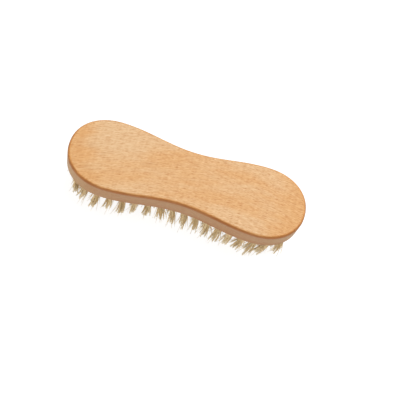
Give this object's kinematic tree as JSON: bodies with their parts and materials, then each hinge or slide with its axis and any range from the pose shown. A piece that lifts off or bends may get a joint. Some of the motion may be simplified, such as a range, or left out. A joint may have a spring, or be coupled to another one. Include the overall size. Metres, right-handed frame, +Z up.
{
  "type": "scrub brush",
  "caption": "Hand scrub brush: flat-backed waisted beech block with round ends and ranks of stiff plant-fibre tufts set in blind holes, trimmed flat.",
  "frame": {"origin": "on the surface that the brush stands on, under the middle of the block: the plane of the trimmed bristle tips", "axes": "+X along the length of the brush, +Y across it, +Z up through the flat back"},
  "size_m": [0.165, 0.0546, 0.036],
  "materials": {
    "beech": "sanded beech with a thin satin oil finish, fine grain along the length, darker on the wall and on the rounded edge",
    "plant_fibre": "undyed straw-coloured plant fibre, matt, slightly paler and translucent at the tips"
  },
  "bodies": {
    "root": {"block": "beech", "tuft_rank_01": "plant_fibre", "tuft_rank_02": "plant_fibre", "tuft_rank_03": "plant_fibre", "tuft_rank_04": "plant_fibre", "tuft_rank_05": "plant_fibre", "tuft_rank_06": "plant_fibre", "tuft_rank_07": "plant_fibre", "tuft_rank_08": "plant_fibre", "tuft_rank_09": "plant_fibre", "tuft_rank_10": "plant_fibre", "tuft_rank_11": "plant_fibre", "tuft_rank_12": "plant_fibre", "tuft_rank_13": "plant_fibre", "tuft_rank_14": "plant_fibre", "tuft_rank_15": "plant_fibre", "tuft_rank_16": "plant_fibre", "tuft_rank_17": "plant_fibre", "tuft_rank_18": "plant_fibre"}
  },
  "joints": []
}
